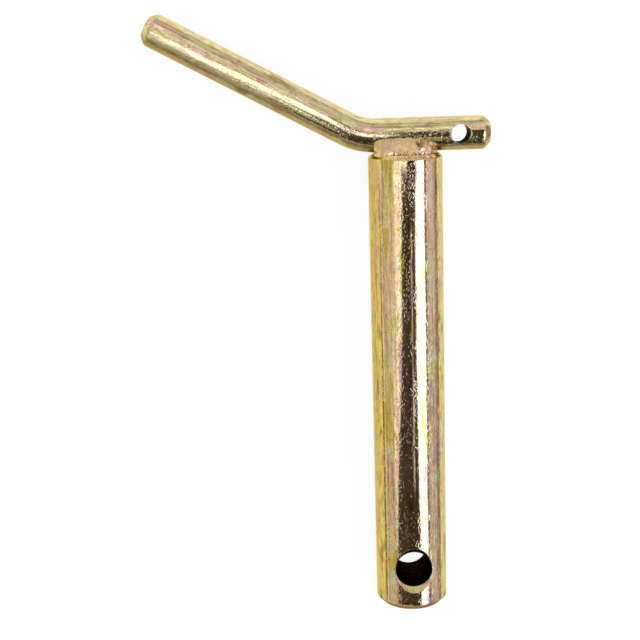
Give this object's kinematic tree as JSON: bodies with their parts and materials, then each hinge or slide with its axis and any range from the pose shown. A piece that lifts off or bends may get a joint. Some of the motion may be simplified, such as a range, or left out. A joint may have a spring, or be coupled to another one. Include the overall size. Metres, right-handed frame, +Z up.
{
  "type": "top link pin",
  "caption": "Plated steel link pin: a chamfered round shank with a countersunk linch-pin hole, and a bent round-bar handle welded across its upper end.",
  "frame": {"origin": "on the shank's axis, where the shank's full diameter begins just under the handle", "axes": "+Y along the shank's axis towards the handle, so the shank runs along -Y; +Z up from the ground that the pin lies on, 12.7 mm below the origin; the handle's long arm points towards -X and comes down to that ground"},
  "size_m": [0.1164, 0.2115, 0.0254],
  "materials": {
    "shank_plating": "bright yellow-passivated zinc plating over turned steel",
    "handle_plating": "bright yellow-passivated zinc plating over drawn bar",
    "weld_plating": "yellow-passivated zinc plating over a rough weld bead"
  },
  "bodies": {
    "root": {"pin_shank": "shank_plating", "handle_bar": "handle_plating", "weld_bead": "weld_plating"}
  },
  "joints": []
}
